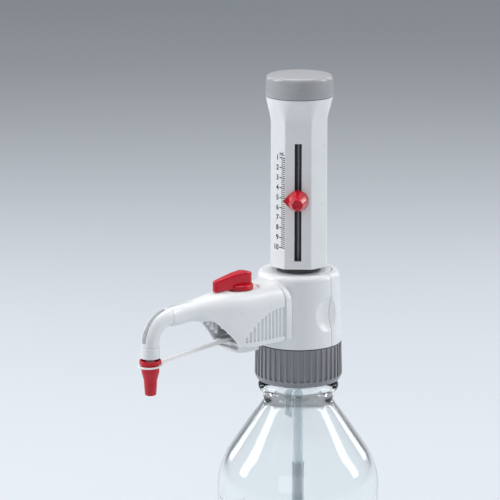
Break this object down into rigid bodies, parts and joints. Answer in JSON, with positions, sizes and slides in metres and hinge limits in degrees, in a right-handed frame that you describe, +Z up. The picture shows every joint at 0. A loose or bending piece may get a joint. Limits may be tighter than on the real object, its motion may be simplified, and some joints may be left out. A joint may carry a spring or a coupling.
{
  "type": "bottle-top dispenser",
  "caption": "Bottle-top dispensing burette: lift-and-press piston tower with volume scale and red pointer, valve block, curved discharge arm, screwed onto a clear glass reservoir bottle.",
  "frame": {"origin": "centre of the bottle's base, on the axis of the bottle and the tower, on the surface it stands on", "axes": "+Z up along the tower; the discharge arm points along -X and the rear cover faces +X; the volume slot faces midway between -X and -Y"},
  "size_m": [0.1777, 0.101, 0.3954],
  "materials": {
    "clear_glass": "gloss",
    "soft_white": "satin",
    "collar_grey": "satin",
    "body_white": "semi-gloss",
    "core_white": "satin",
    "ball_white": "polished",
    "clear_tube": "translucent",
    "dark_plastic": "satin",
    "strip_grey": "satin",
    "cap_grey": "satin",
    "signal_red": "gloss"
  },
  "bodies": {
    "bottle": {"reservoir_bottle": "clear_glass"},
    "seal": {"bottle_seal": "soft_white"},
    "collar": {"screw_collar": "collar_grey"},
    "head": {"valve_block": "body_white", "valve_core": "core_white", "retaining_ring": "core_white", "intake_valve": "core_white", "outlet_valve": "core_white", "vent_filter": "soft_white", "return_tube": "clear_tube", "filling_tube_upper": "clear_tube", "cylinder_seal": "soft_white", "glass_cylinder": "clear_glass", "cylinder_nut": "dark_plastic", "guide_sleeve": "dark_plastic", "guide_strip": "strip_grey", "arm_shell": "body_white", "arm_floor": "body_white", "discharge_tube": "clear_tube", "tip_collar": "body_white", "switch_valve": "core_white", "return_hose": "clear_tube", "closure_strap": "soft_white"},
    "cover": {"rear_cover": "body_white"},
    "inlet_ball": {"intake_ball": "ball_white"},
    "delivery_ball": {"outlet_ball": "ball_white"},
    "piston": {"housing_sleeve": "body_white", "volume_rack": "strip_grey", "top_cap": "cap_grey", "calibration_nut": "strip_grey", "piston_rod": "core_white", "piston_head": "core_white", "piston_seal": "soft_white"},
    "pointer": {"volume_pointer": "signal_red", "pointer_shoe": "signal_red"},
    "knob": {"clamp_knob": "signal_red"},
    "lever": {"valve_lever": "signal_red", "valve_spindle": "core_white"},
    "closure": {"closure_cap": "signal_red", "strap_ring": "soft_white"},
    "lower_tube": {"filling_tube_lower": "clear_tube"}
  },
  "joints": [
    {"name": "head_lift", "type": "slide", "parent": "bottle", "child": "seal", "axis": [0, 0, 1], "range_m": [0, 0.012]},
    {"name": "collar_turn", "type": "hinge", "parent": "seal", "child": "collar", "pos_m": [0, 0, 0.216], "axis": [0, 0, 1], "range_deg": [0, 1080.5]},
    {"name": "block_turn", "type": "hinge", "parent": "seal", "child": "head", "pos_m": [0, 0, 0.225], "axis": [0, 0, 1], "continuous": true},
    {"name": "cover_pull", "type": "slide", "parent": "head", "child": "cover", "axis": [1, 0, 0], "range_m": [0, 0.015]},
    {"name": "inlet_ball_lift", "type": "slide", "parent": "head", "child": "inlet_ball", "axis": [0, 0, 1], "range_m": [0, 0.0015]},
    {"name": "delivery_ball_lift", "type": "slide", "parent": "head", "child": "delivery_ball", "axis": [-1, 0, 0], "range_m": [0, 0.0015]},
    {"name": "piston_stroke", "type": "slide", "parent": "head", "child": "piston", "axis": [0, 0, 1], "range_m": [0, 0.0322]},
    {"name": "volume_setting", "type": "slide", "parent": "piston", "child": "pointer", "axis": [0, 0, -1], "range_m": [-0.026, 0.0298]},
    {"name": "knob_turn", "type": "hinge", "parent": "pointer", "child": "knob", "pos_m": [-0.01202, -0.01202, 0.3204], "axis": [-0.7071, -0.7071, 0], "range_deg": [0, 270]},
    {"name": "lever_turn", "type": "hinge", "parent": "head", "child": "lever", "pos_m": [-0.049, 0, 0.268], "axis": [0, 0, 1], "range_deg": [0, 90]},
    {"name": "cap_pull", "type": "slide", "parent": "head", "child": "closure", "axis": [0, 0, -1], "range_m": [0, 0.016], "deforming": ["closure_strap"]},
    {"name": "tube_telescope", "type": "slide", "parent": "head", "child": "lower_tube", "axis": [0, 0, 1], "range_m": [0, 0.04]}
  ],
  "couplings": [
    {"joint": "collar_turn", "follows": "head_lift", "rad_per_m": 1570.8}
  ]
}
